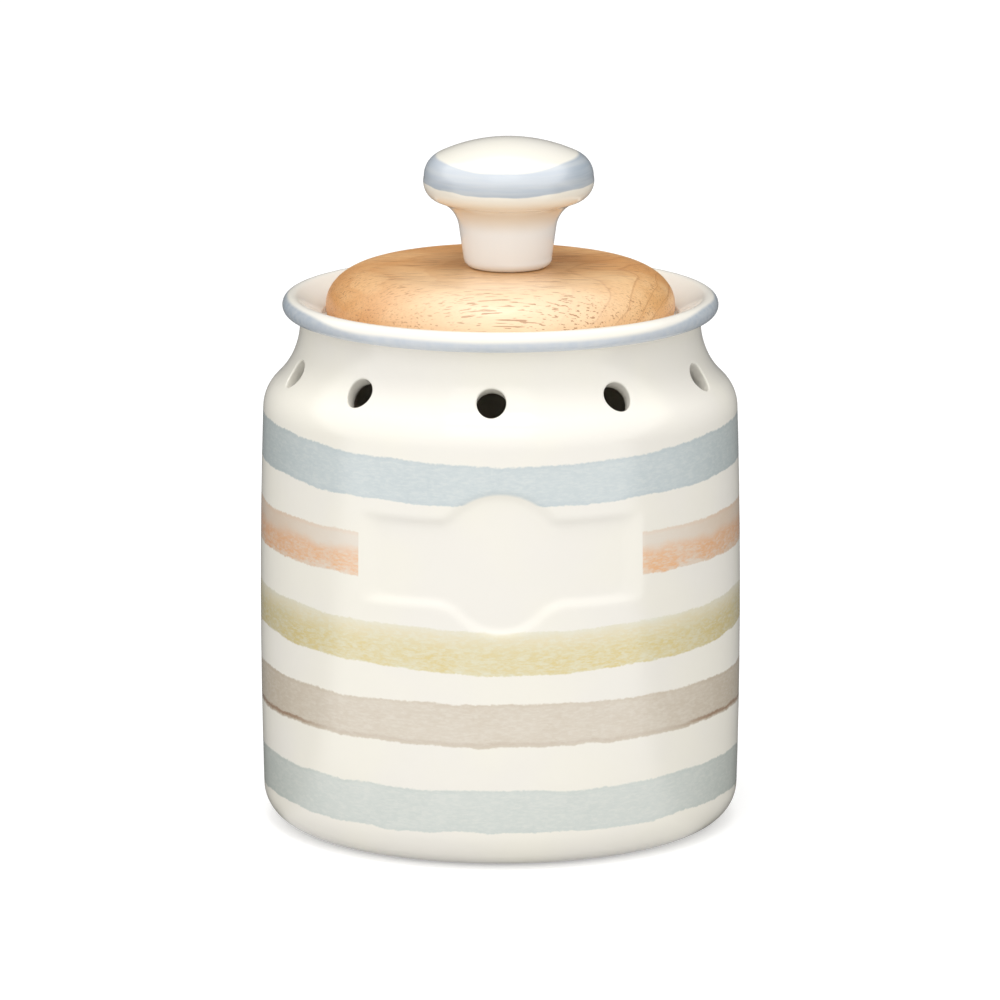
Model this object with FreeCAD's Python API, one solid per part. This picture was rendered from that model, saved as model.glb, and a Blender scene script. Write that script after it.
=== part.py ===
"""Vented stoneware jar with a turned beech lid and a glazed knob, in millimetres.

The jar stands on its foot ring at z = 0 with its axis on Z, and the plaque faces -Y.
Every radius grows outwards from the jar wall and every height is measured down from the
rim or up from the lid, so the lid, seal and screw follow the mouth that they sit in.
"""

import FreeCAD, Part
import math
import os

V = FreeCAD.Vector

# Jar wall and foot
wall_radius = 60.0
wall_crown_height = 55.0
wall_foot_draw = 0.6
wall_top_draw = 0.85
wall_thickness = 4.8
base_round = 9.0
floor_height = 6.0
floor_round = 8.0
foot_ring_width = 6.0
foot_recess = 1.2
foot_recess_round = 1.0

# Shoulder, neck and rim
jar_height = 132.9
neck_length = 10.4
shoulder_drop = 8.55
shoulder_round = 10.0
neck_round = 12.0
lip_overhang = 3.6
lip_bead_radius = 2.5
lip_under_round = 1.4
rim_slope_width = 6.4

# Seat for the lid inside the rim
seat_depth = 5.9
seat_wall_height = 1.3
seat_clearance = 0.8
seat_underside_angle = 11.0
mouth_depth = 4.8

# Vents through the shoulder, with the drift of holes cut by hand
vent_count = 10
vent_radius = 3.85
vent_drop = 7.5
vent_first_angle = -2.4
vent_drift = (0.0, -0.9, -1.7, 0.6, -0.5, 0.4, 0.9, -0.7, 1.6, -2.3)
vent_edge_round = 0.8

# Recessed plaque with an ogee above and below
plaque_half_width = 32.8
plaque_depth = 0.9
plaque_bottom = 66.7
plaque_side_height = 20.5
plaque_top_bow = 7.0
plaque_top_bow_half_width = 15.4
plaque_bottom_bow = 7.1
plaque_bottom_bow_half_width = 16.8
plaque_bow_share = 0.6
plaque_corner_round = 1.5

# Wood lid
lid_height = 12.75
lid_edge_rise = 9.35
lid_edge_width = 12.4
lid_under_round = 1.0
lid_overhang = 3.7
plug_depth = 9.0
plug_clearance = 0.8
plug_edge_chamfer = 1.0

# Silicone seal in the groove of the plug
groove_depth = 1.5
groove_height = 4.4
seal_running_gap = 0.08
seal_end_gap = 0.2
seal_band = 0.9
seal_mouth_gap = 0.3
seal_fin_thickness = 1.0
seal_fin_count = 2

# Glazed knob, offset a little from the middle of the lid
knob_offset = 1.9
knob_foot_radius = 10.3
knob_foot_round = 2.0
knob_stem_flare = 2.0
knob_stem_height = 10.3
knob_under_flare = 5.3
knob_under_rise = 6.45
knob_head_flare = 3.5
knob_head_rise = 6.1
knob_crown_rise = 9.4
knob_crown_angle = 25.4

# Screw, washer and the insert cemented in the knob
screw_length = 30.0
screw_radius = 2.4
screw_head_radius = 4.75
screw_head_height = 3.0
screw_head_crown = 0.9
drive_length = 4.6
drive_width = 1.0
drive_depth = 1.7
washer_radius = 5.2
washer_thickness = 1.0
washer_gap = 0.3
counterbore_gap = 0.8
counterbore_depth = 4.6
lid_hole_gap = 0.35
insert_radius = 4.0
insert_length = 12.0
insert_lift = 0.3
insert_thread_gap = 0.1
insert_groove_count = 3
insert_groove_depth = 0.4
insert_groove_height = 1.2
cement_gap = 0.1
knob_hole_spare = 2.0

# Sizes that follow from the ones above
wall_foot_radius = wall_radius - wall_foot_draw
wall_top_radius = wall_radius - wall_top_draw
neck_radius = wall_top_radius - shoulder_drop
lip_radius = neck_radius + lip_overhang
seat_radius = neck_radius - rim_slope_width
lid_radius = seat_radius - seat_clearance
plug_radius = lid_radius - lid_overhang
mouth_radius = plug_radius + plug_clearance
neck_foot = jar_height - neck_length
shoulder_angle = math.acos(1.0 - shoulder_drop / (shoulder_round + neck_round))
shoulder_foot = neck_foot - (shoulder_round + neck_round) * math.sin(shoulder_angle)
seat_height = jar_height - seat_depth
vent_height = neck_foot - vent_drop
plaque_top = plaque_bottom + plaque_side_height
lid_top = seat_height + lid_height
plug_bottom = seat_height - plug_depth
groove_middle = seat_height - mouth_depth / 2.0
groove_radius = plug_radius - groove_depth
lid_hole_radius = screw_radius + lid_hole_gap
counterbore_radius = washer_radius + counterbore_gap
washer_top = plug_bottom + counterbore_depth
screw_seat = washer_top - washer_thickness
knob_hole_radius = insert_radius + cement_gap
knob_hole_depth = max(insert_lift + insert_length, screw_seat + screw_length - lid_top) + knob_hole_spare


class Profile:
    """A closed outline in the X-Z plane, drawn from point to point and turned about Z."""

    def __init__(self, radius, height):
        self.start = V(radius, 0, height)
        self.here = self.start
        self.heading = V(1, 0, 0)
        self.edges = []

    def _add(self, curve, end, heading):
        self.edges.append(curve.toShape())
        self.here = end
        self.heading = heading

    def line(self, radius, height):
        end = V(radius, 0, height)
        self._add(Part.LineSegment(self.here, end), end, (end - self.here).normalize())
        return self

    def arc(self, centre, end):
        """The shorter arc about a known centre."""
        middle_way = ((self.here - centre) + (end - centre)).normalize()
        middle = centre + middle_way * (end - centre).Length
        chord = end - self.here
        reach = end - centre
        heading = V(-reach.z, 0, reach.x).normalize()
        if heading.dot(chord) < 0:
            heading = heading * -1
        self._add(Part.Arc(self.here, middle, end), end, heading)
        return self

    def tangent_arc(self, radius, height):
        """An arc that leaves along the present heading and ends at the given point."""
        end = V(radius, 0, height)
        chord = end - self.here
        normal = V(-self.heading.z, 0, self.heading.x)
        reach = chord.dot(chord) / (2.0 * normal.dot(chord))
        return self.arc(self.here + normal * reach, end)

    def bow(self, middle_radius, middle_height, radius, height):
        """An arc through a middle point."""
        end = V(radius, 0, height)
        middle = V(middle_radius, 0, middle_height)
        self._add(Part.Arc(self.here, middle, end), end, (end - middle).normalize())
        return self

    def quarter(self, radius, height, starts_upright):
        """A quarter ellipse that starts upright and ends level, or the other way round."""
        end = V(radius, 0, height)
        centre = V(end.x, 0, self.here.z) if starts_upright else V(self.here.x, 0, end.z)
        first = self.here - centre
        last = end - centre
        if abs(first.Length - last.Length) < 1e-6:
            middle = centre + (first + last) * math.sqrt(0.5)
            self._add(Part.Arc(self.here, middle, end), end, first.normalize() * -1)
            return self
        long_way, short_way = (first, last) if first.Length > last.Length else (last, first)
        ellipse = Part.Ellipse(centre + long_way, centre + short_way, centre)
        curve = Part.ArcOfEllipse(ellipse, 0.0, math.pi / 2.0)
        self._add(curve, end, first.normalize() * -1)
        return self

    def turned(self):
        if (self.here - self.start).Length > 1e-6:
            self.edges.append(Part.LineSegment(self.here, self.start).toShape())
        wire = Part.Wire(Part.__sortEdges__(self.edges))
        solid = Part.Face(wire).revolve(V(0, 0, 0), V(0, 0, 1), 360)
        return solid


def jar_shell():
    """The turned jar: foot ring, barrelled wall, shoulder, beaded rim and the lid's seat."""
    bead = V(lip_radius - lip_bead_radius, 0, jar_height - lip_bead_radius)
    under_reach = lip_bead_radius + lip_under_round
    under_radius = neck_radius + lip_under_round
    under_side = bead.x - under_radius
    under = V(under_radius, 0, bead.z - math.sqrt(under_reach ** 2 - under_side ** 2))
    under_meets_bead = bead + (under - bead) * (lip_bead_radius / under_reach)

    seat_corner = V(seat_radius, 0, seat_height + seat_wall_height)
    reach = seat_corner - bead
    bearing = math.atan2(reach.z, reach.x) - math.acos(lip_bead_radius / reach.Length)
    slope_meets_bead = bead + V(math.cos(bearing), 0, math.sin(bearing)) * lip_bead_radius

    jar = Profile(0, foot_recess)
    recess_edge = wall_foot_radius - base_round - foot_ring_width
    jar.line(recess_edge - foot_recess_round, foot_recess)
    jar.line(recess_edge, 0)
    jar.line(wall_foot_radius - base_round, 0)
    jar.quarter(wall_foot_radius, base_round, False)
    jar.bow(wall_radius, wall_crown_height, wall_top_radius, shoulder_foot)
    turn = shoulder_angle
    way = V(math.cos(turn), 0, math.sin(turn))
    upper = V(neck_radius + neck_round, 0, neck_foot)
    lower = V(wall_top_radius - shoulder_round, 0, shoulder_foot)
    jar.arc(lower, lower + way * shoulder_round)
    jar.arc(upper, V(neck_radius, 0, neck_foot))
    jar.line(neck_radius, under.z)
    jar.arc(under, under_meets_bead)
    jar.bow(lip_radius, bead.z, bead.x, jar_height)
    jar.arc(bead, slope_meets_bead)
    jar.line(seat_corner.x, seat_corner.z)
    jar.line(seat_radius, seat_height)
    jar.line(mouth_radius, seat_height)
    jar.line(mouth_radius, seat_height - mouth_depth)
    inner_neck_round = neck_round + wall_thickness
    under_turn = math.radians(seat_underside_angle)
    under_way = V(math.cos(under_turn), 0, math.sin(under_turn))
    under_seat = upper - under_way * inner_neck_round
    jar.line(under_seat.x, under_seat.z)
    jar.arc(upper, upper - way * inner_neck_round)
    jar.arc(lower, V(wall_top_radius - wall_thickness, 0, shoulder_foot))
    inner_foot = floor_height + floor_round
    inner_crown = wall_radius - wall_thickness
    jar.bow(inner_crown, wall_crown_height, wall_foot_radius - wall_thickness, inner_foot)
    jar.quarter(wall_foot_radius - wall_thickness - floor_round, floor_height, True)
    jar.line(0, floor_height)
    return jar.turned()


def vent_cutters():
    """Level round holes that run outwards through the shoulder."""
    inside = mouth_radius
    outside = wall_radius
    cutters = []
    for index in range(vent_count):
        drift = vent_drift[index % len(vent_drift)]
        angle = math.radians(vent_first_angle + index * 360.0 / vent_count + drift)
        way = V(math.sin(angle), -math.cos(angle), 0)
        start = way * inside + V(0, 0, vent_height)
        cutters.append(Part.makeCylinder(vent_radius, outside - inside, start, way))
    return cutters


def ogee(edge_height, rise, half_width):
    """Edges of a bow that leaves a level edge in a hollow curve and crowns at the middle."""
    turn = 2.0 * math.atan2(abs(rise), half_width)
    both = half_width / math.sin(turn)
    crown = both * plaque_bow_share
    side = 1.0 if rise > 0 else -1.0
    crown_centre = edge_height + rise - side * crown
    change = V(crown * math.sin(turn), 0, crown_centre + side * crown * math.cos(turn))
    hollow = both - crown
    hollow_centre = V(half_width, 0, edge_height + side * hollow)
    half_turn = turn / 2.0
    dip = hollow_centre + V(-math.sin(half_turn), 0, -side * math.cos(half_turn)) * hollow
    top = V(0, 0, edge_height + rise)
    start = V(half_width, 0, edge_height)

    def mirrored(point):
        return V(-point.x, 0, point.z)

    return [
        Part.Arc(start, dip, change),
        Part.Arc(change, top, mirrored(change)),
        Part.Arc(mirrored(change), mirrored(dip), mirrored(start)),
    ]


def plaque_outline():
    """The plaque's outline seen from the front: a long panel bowed out above and below."""
    side = plaque_half_width
    round_off = plaque_corner_round
    low = plaque_bottom
    high = plaque_top
    slack = round_off * (1.0 - math.sqrt(0.5))
    pieces = ogee(high, plaque_top_bow, plaque_top_bow_half_width)
    pieces += ogee(low, -plaque_bottom_bow, plaque_bottom_bow_half_width)
    for hand in (-1.0, 1.0):
        for edge, inward in ((high, -1.0), (low, 1.0)):
            bow_end = plaque_top_bow_half_width if edge == high else plaque_bottom_bow_half_width
            corner = V(hand * side, 0, edge)
            level = corner - V(hand * round_off, 0, 0)
            upright = corner + V(0, 0, inward * round_off)
            middle = corner + V(-hand * slack, 0, inward * slack)
            pieces.append(Part.Arc(level, middle, upright))
            pieces.append(Part.LineSegment(V(hand * bow_end, 0, edge), level))
        foot = V(hand * side, 0, low + round_off)
        pieces.append(Part.LineSegment(foot, V(hand * side, 0, high - round_off)))
    return Part.Wire(Part.__sortEdges__([piece.toShape() for piece in pieces]))


def plaque_cutter():
    """The outline pushed into the wall, with a floor that follows the wall's curve."""
    reach = wall_radius + plaque_depth
    prism = Part.Face(plaque_outline()).extrude(V(0, -reach, 0))
    skin = Profile(wall_foot_radius - plaque_depth, base_round)
    skin.bow(wall_radius - plaque_depth, wall_crown_height, wall_top_radius - plaque_depth, shoulder_foot)
    skin.line(reach, shoulder_foot)
    skin.line(reach, base_round)
    return prism.common(skin.turned())


def vent_rims(shell):
    """The edges where the vents break the outside of the shoulder."""
    middle_of_wall = neck_radius - wall_thickness / 2.0
    rims = []
    for edge in shell.Edges:
        centre = edge.CenterOfMass
        level = abs(centre.z - vent_height) < vent_radius
        whole = edge.BoundBox.ZLength > vent_radius
        if level and whole and math.hypot(centre.x, centre.y) > middle_of_wall:
            rims.append(edge)
    return rims


def jar_body():
    shell = jar_shell()
    for cutter in vent_cutters():
        shell = shell.cut(cutter)
    shell = shell.makeFillet(vent_edge_round, vent_rims(shell))
    return shell.cut(plaque_cutter())


def lid_disc():
    """Turned wood lid: rounded rim, plug with a seal groove, screw hole and counterbore."""
    disc = Profile(0, plug_bottom)
    disc.line(plug_radius - plug_edge_chamfer, plug_bottom)
    disc.line(plug_radius, plug_bottom + plug_edge_chamfer)
    disc.line(plug_radius, groove_middle - groove_height / 2.0)
    disc.line(groove_radius, groove_middle - groove_height / 2.0)
    disc.line(groove_radius, groove_middle + groove_height / 2.0)
    disc.line(plug_radius, groove_middle + groove_height / 2.0)
    disc.line(plug_radius, seat_height)
    disc.line(lid_radius - lid_under_round, seat_height)
    disc.quarter(lid_radius, lid_top - lid_edge_rise, False)
    disc.quarter(lid_radius - lid_edge_width, lid_top, True)
    disc.line(0, lid_top)
    solid = disc.turned()
    hole = Part.makeCylinder(lid_hole_radius, lid_top - plug_bottom, V(knob_offset, 0, plug_bottom))
    counterbore = Part.makeCylinder(counterbore_radius, counterbore_depth, V(knob_offset, 0, plug_bottom))
    return solid.cut(hole).cut(counterbore)


def seal_ring():
    """Silicone ring in the plug's groove, with rounded fins that wipe the mouth."""
    inner = groove_radius + seal_running_gap
    band = inner + seal_band
    tip = mouth_radius - seal_mouth_gap
    low = groove_middle - groove_height / 2.0 + seal_end_gap
    high = groove_middle + groove_height / 2.0 - seal_end_gap
    half_fin = seal_fin_thickness / 2.0
    ring = Profile(inner, low)
    ring.line(band, low)
    spacing = (high - low) / seal_fin_count
    for index in range(seal_fin_count):
        middle = low + (index + 0.5) * spacing
        ring.line(band, middle - half_fin)
        ring.line(tip - half_fin, middle - half_fin)
        ring.bow(tip, middle, tip - half_fin, middle + half_fin)
        ring.line(band, middle + half_fin)
    ring.line(band, high)
    ring.line(inner, high)
    return ring.turned()


def lid_knob():
    """Glazed mushroom knob that stands on the lid, with a blind hole for the insert."""
    stem_radius = knob_foot_radius + knob_stem_flare
    under_radius = stem_radius + knob_under_flare
    under_height = knob_stem_height + knob_under_rise
    head_radius = under_radius + knob_head_flare
    head_height = under_height + knob_head_rise
    crown_turn = math.radians(knob_crown_angle)
    crown_slope = math.tan(crown_turn / 2.0)
    edge_lift = math.cos(crown_turn) - (1.0 - math.sin(crown_turn)) * crown_slope
    edge_round = (knob_crown_rise - head_radius * crown_slope) / edge_lift
    edge_middle = V(head_radius - edge_round, 0, lid_top + head_height)
    knob = Profile(0, lid_top)
    knob.line(knob_foot_radius - knob_foot_round, lid_top)
    knob.quarter(knob_foot_radius, lid_top + knob_foot_round, False)
    knob.line(stem_radius, lid_top + knob_stem_height)
    knob.tangent_arc(under_radius, lid_top + under_height)
    knob.tangent_arc(head_radius, lid_top + head_height)
    crown_way = V(math.sin(crown_turn), 0, math.cos(crown_turn))
    knob.arc(edge_middle, edge_middle + crown_way * edge_round)
    knob.tangent_arc(0, lid_top + head_height + knob_crown_rise)
    solid = knob.turned()
    hole = Part.makeCylinder(knob_hole_radius, knob_hole_depth, V(0, 0, lid_top))
    return solid.cut(hole).translated(V(knob_offset, 0, 0))


def knob_insert():
    """Threaded brass sleeve with retaining grooves, cemented in the knob."""
    low = lid_top + insert_lift
    high = low + insert_length
    sleeve = Profile(screw_radius + insert_thread_gap, low)
    sleeve.line(insert_radius, low)
    pitch = insert_length / (insert_groove_count + 1)
    for index in range(insert_groove_count):
        middle = low + (index + 1) * pitch
        sleeve.line(insert_radius, middle - insert_groove_height / 2.0)
        sleeve.line(insert_radius - insert_groove_depth, middle - insert_groove_height / 4.0)
        sleeve.line(insert_radius - insert_groove_depth, middle + insert_groove_height / 4.0)
        sleeve.line(insert_radius, middle + insert_groove_height / 2.0)
    sleeve.line(insert_radius, high)
    sleeve.line(screw_radius + insert_thread_gap, high)
    return sleeve.turned().translated(V(knob_offset, 0, 0))


def screw_washer():
    washer = Profile(screw_radius + washer_gap, screw_seat)
    washer.line(washer_radius, screw_seat)
    washer.line(washer_radius, washer_top)
    washer.line(screw_radius + washer_gap, washer_top)
    return washer.turned().translated(V(knob_offset, 0, 0))


def lid_screw():
    """Pan-head screw driven up through the lid, with a cross recess in its head."""
    low = screw_seat - screw_head_height
    tip = screw_seat + screw_length
    screw = Profile(0, low)
    screw.quarter(screw_head_radius, low + screw_head_crown, False)
    screw.line(screw_head_radius, screw_seat)
    screw.line(screw_radius, screw_seat)
    screw.line(screw_radius, tip - screw_radius / 2.0)
    screw.line(screw_radius / 2.0, tip)
    screw.line(0, tip)
    solid = screw.turned()
    for length, width in ((drive_length, drive_width), (drive_width, drive_length)):
        slot = Part.makeBox(length, width, drive_depth, V(-length / 2.0, -width / 2.0, low))
        solid = solid.cut(slot)
    return solid.translated(V(knob_offset, 0, 0))


PARTS = {
    "jar_body": jar_body,
    "lid_disc": lid_disc,
    "seal_ring": seal_ring,
    "lid_knob": lid_knob,
    "knob_insert": knob_insert,
    "screw_washer": screw_washer,
    "lid_screw": lid_screw,
}


def main():
    os.makedirs("parts", exist_ok=True)
    for name, make in PARTS.items():
        shape = make()
        shape.exportStep(os.path.join("parts", name + ".step"))
        print(name, "valid", shape.isValid(), "solids", len(shape.Solids), "volume", round(shape.Volume, 1))


main()
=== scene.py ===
"""Looks of a vented stoneware jar with a turned beech lid and a glazed knob.

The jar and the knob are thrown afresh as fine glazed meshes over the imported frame, and the
lid, seal and screw keep their own shapes. Sizes are in millimetres and are turned into
metres where a mesh is made. The jar stands on z = 0 and its plaque faces -Y.
"""

from __future__ import annotations

import logging
import math
from dataclasses import dataclass, field
from enum import Enum
from typing import Optional, Sequence, Union

import bmesh
import bpy
import numpy as np
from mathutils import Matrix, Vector

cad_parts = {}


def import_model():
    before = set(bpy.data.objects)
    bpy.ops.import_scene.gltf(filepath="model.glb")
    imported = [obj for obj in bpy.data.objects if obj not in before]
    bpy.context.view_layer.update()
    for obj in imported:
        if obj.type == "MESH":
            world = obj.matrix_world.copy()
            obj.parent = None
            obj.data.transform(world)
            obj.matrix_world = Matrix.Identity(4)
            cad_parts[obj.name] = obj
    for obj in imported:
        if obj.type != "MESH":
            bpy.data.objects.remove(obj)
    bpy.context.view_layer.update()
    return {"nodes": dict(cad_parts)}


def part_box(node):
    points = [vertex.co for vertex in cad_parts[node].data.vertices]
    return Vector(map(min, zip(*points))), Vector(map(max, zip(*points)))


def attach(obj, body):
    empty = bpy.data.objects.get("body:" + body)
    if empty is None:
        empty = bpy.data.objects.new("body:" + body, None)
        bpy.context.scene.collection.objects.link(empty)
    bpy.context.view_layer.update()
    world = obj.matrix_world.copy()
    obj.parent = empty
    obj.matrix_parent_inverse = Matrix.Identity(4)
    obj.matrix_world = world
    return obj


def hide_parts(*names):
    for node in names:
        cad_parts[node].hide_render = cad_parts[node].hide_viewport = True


LOG = logging.getLogger("garlic_jar")
MM = 0.001
PLAQUE_FIELD = "inside_plaque"

Colour = tuple[float, float, float]
Corner = tuple[float, float, float]


def linear(red: int, green: int, blue: int) -> Colour:
    """Turn a colour of 0 to 255 as seen on a screen into linear light.

    Args:
        red: red of the colour.
        green: green of the colour.
        blue: blue of the colour.

    Returns:
        The linear colour that a shader socket takes.
    """
    def one(value: int) -> float:
        """Linear light of one channel."""
        share = value / 255.0
        return share / 12.92 if share <= 0.04045 else ((share + 0.055) / 1.055) ** 2.4
    return one(red), one(green), one(blue)


class Blend(Enum):
    """How two colours are laid over each other."""

    MIX = "MIX"
    MULTIPLY = "MULTIPLY"


class Graph:
    """A node graph, with a short method for each kind of node."""

    def __init__(self, owner: Union[bpy.types.Material, bpy.types.World]) -> None:
        """Start afresh in a node tree.

        Args:
            owner: the material or the world that is being made.
        """
        owner.use_nodes = True
        self.owner = owner
        self.tree = owner.node_tree
        self.tree.nodes.clear()

    @classmethod
    def paint(cls, name: str) -> "Graph":
        """Start the graph of a new material."""
        return cls(bpy.data.materials.new(name))

    def put(self, socket: bpy.types.NodeSocket, value: object) -> None:
        """Link a socket, or set it when the value is a plain number or colour."""
        if isinstance(value, bpy.types.NodeSocket):
            self.tree.links.new(value, socket)
        elif isinstance(value, tuple) and socket.type == "RGBA":
            socket.default_value = (*value, 1.0)
        else:
            socket.default_value = value

    def math(self, kind: str, *values: object, clamp: bool = False) -> bpy.types.NodeSocket:
        """A math node.

        Args:
            kind: operation, such as "ADD".
            values: up to three sockets or numbers.
            clamp: whether the result is held between 0 and 1.

        Returns:
            The value that comes out.
        """
        node = self.tree.nodes.new("ShaderNodeMath")
        node.operation = kind
        node.use_clamp = clamp
        for socket, value in zip(node.inputs, values):
            self.put(socket, value)
        return node.outputs[0]

    def times(self, *values: object) -> bpy.types.NodeSocket:
        """The product of two or more values."""
        result = values[0]
        for value in values[1:]:
            result = self.math("MULTIPLY", result, value)
        return result

    def length(self, first: bpy.types.NodeSocket, second: bpy.types.NodeSocket) -> bpy.types.NodeSocket:
        """Length of a flat vector that has two parts."""
        squares = self.math("ADD", self.times(first, first), self.times(second, second))
        return self.math("SQRT", squares)

    def sway(self, noise: bpy.types.NodeSocket, size: float) -> bpy.types.NodeSocket:
        """A noise turned into a shift of up to half a size each way."""
        return self.math("MULTIPLY_ADD", noise, size, -size / 2.0)

    def place(self) -> bpy.types.NodeSocket:
        """The point on the object, in millimetres."""
        coords = self.tree.nodes.new("ShaderNodeTexCoord")
        return self.scaled(coords.outputs["Object"], (1000.0, 1000.0, 1000.0))

    def stored(self, name: str) -> bpy.types.NodeSocket:
        """A value that the mesh carries at its points."""
        node = self.tree.nodes.new("ShaderNodeAttribute")
        node.attribute_name = name
        return node.outputs["Fac"]

    def vector(self, kind: str, first: bpy.types.NodeSocket, second: Corner) -> bpy.types.Node:
        """A vector math node.

        Args:
            kind: operation, such as "ADD".
            first: the vector that comes in.
            second: the fixed vector that it is worked with.

        Returns:
            The node.
        """
        node = self.tree.nodes.new("ShaderNodeVectorMath")
        node.operation = kind
        self.put(node.inputs[0], first)
        node.inputs[1].default_value = second
        return node

    def scaled(self, vector: bpy.types.NodeSocket, size: Corner) -> bpy.types.NodeSocket:
        """A vector stretched along each axis."""
        return self.vector("MULTIPLY", vector, size).outputs[0]

    def moved(self, vector: bpy.types.NodeSocket, shift: Corner) -> bpy.types.NodeSocket:
        """A vector shifted along each axis."""
        return self.vector("ADD", vector, shift).outputs[0]

    def split(self, vector: bpy.types.NodeSocket) -> list[bpy.types.NodeSocket]:
        """The three parts of a vector."""
        node = self.tree.nodes.new("ShaderNodeSeparateXYZ")
        self.put(node.inputs[0], vector)
        return list(node.outputs)

    def join(self, *values: object) -> bpy.types.NodeSocket:
        """A vector made of three values."""
        node = self.tree.nodes.new("ShaderNodeCombineXYZ")
        for socket, value in zip(node.inputs, values):
            self.put(socket, value)
        return node.outputs[0]

    def noise(self, vector: bpy.types.NodeSocket, scale: float, detail: float = 2.0,
              rough: float = 0.5) -> bpy.types.NodeSocket:
        """Soft noise.

        Args:
            vector: where the noise is read.
            scale: how many lumps fit in one unit of the vector.
            detail: how many finer layers it has.
            rough: how strong the finer layers are.

        Returns:
            A value about 0.5, mostly between 0.2 and 0.8.
        """
        node = self.tree.nodes.new("ShaderNodeTexNoise")
        self.put(node.inputs["Vector"], vector)
        node.inputs["Scale"].default_value = scale
        node.inputs["Detail"].default_value = detail
        node.inputs["Roughness"].default_value = rough
        return node.outputs[0]

    def span(self, value: object, low: object, high: object, first: float = 0.0,
             last: float = 1.0) -> bpy.types.NodeSocket:
        """A smooth step.

        Args:
            value: what is tested.
            low: where the step starts.
            high: where it ends.
            first: result before the step.
            last: result after it.

        Returns:
            The stepped value.
        """
        node = self.tree.nodes.new("ShaderNodeMapRange")
        node.interpolation_type = "SMOOTHSTEP"
        for name, entry in (("Value", value), ("From Min", low), ("From Max", high),
                            ("To Min", first), ("To Max", last)):
            self.put(node.inputs[name], entry)
        return node.outputs[0]

    def mix(self, share: object, under: object, over: object,
            blend: Blend = Blend.MIX) -> bpy.types.NodeSocket:
        """One colour laid over another.

        Args:
            share: how much of the upper colour shows.
            under: colour below.
            over: colour on top.
            blend: how they are laid over each other.

        Returns:
            The colour that comes out.
        """
        node = self.tree.nodes.new("ShaderNodeMix")
        node.data_type = "RGBA"
        node.blend_type = blend.value
        node.clamp_factor = True
        self.put(node.inputs["Factor"], share)
        self.put(node.inputs[6], under)
        self.put(node.inputs[7], over)
        return node.outputs[2]

    def bump(self, height: bpy.types.NodeSocket, depth: float,
             under: Optional[bpy.types.NodeSocket] = None) -> bpy.types.NodeSocket:
        """A bumped normal.

        Args:
            height: height of the surface, 0 to 1.
            depth: how many millimetres a height of 1 stands for.
            under: normal of a coarser bump below.

        Returns:
            The normal that comes out.
        """
        node = self.tree.nodes.new("ShaderNodeBump")
        node.inputs["Strength"].default_value = 1.0
        node.inputs["Distance"].default_value = depth * MM
        self.put(node.inputs["Height"], height)
        if under is not None:
            self.put(node.inputs["Normal"], under)
        return node.outputs[0]

    def surface(self, base: object, **sockets: object) -> bpy.types.Material:
        """End the graph in one surface shader.

        Args:
            base: base colour, or the socket that gives it.
            sockets: other inputs of the shader, with underscores for spaces.

        Returns:
            The finished material.
        """
        shader = self.tree.nodes.new("ShaderNodeBsdfPrincipled")
        self.put(shader.inputs["Base Color"], base)
        for name, value in sockets.items():
            self.put(shader.inputs[name.replace("_", " ")], value)
        end = self.tree.nodes.new("ShaderNodeOutputMaterial")
        self.tree.links.new(shader.outputs[0], end.inputs[0])
        return self.owner


@dataclass(frozen=True)
class Stripe:
    """One brushed stripe round the jar, in millimetres above the foot.

    The edges swing up by low_swing and high_swing at the sides and down at the front. They
    drift slowly, wave and fray by up to half of the sizes that these fields give, and the upper
    edge takes the shares wave_above and fray_above of them. The wash covers the stripe, and the
    deeper pigment lies from pool_from to pool_to of its height. The stripe stops short of the
    plaque at gap_half_arc from the middle of the front, where that isn't 0.
    """

    low: float
    high: float
    wash: Colour
    deep: Colour
    low_swing: float = 0.0
    high_swing: float = 0.0
    pool_from: float = -0.3
    pool_to: float = 1.3
    pool: float = 0.5
    top_strength: float = 0.95
    seed: float = 0.0
    gap_half_arc: float = 0.0
    line: float = 0.0
    rim: float = 0.3
    side_shade: Colour = (0.78, 0.79, 0.78)
    drift: float = 2.2
    wave: float = 1.5
    fray: float = 0.8
    wave_above: float = 0.8
    fray_above: float = 1.2


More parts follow.
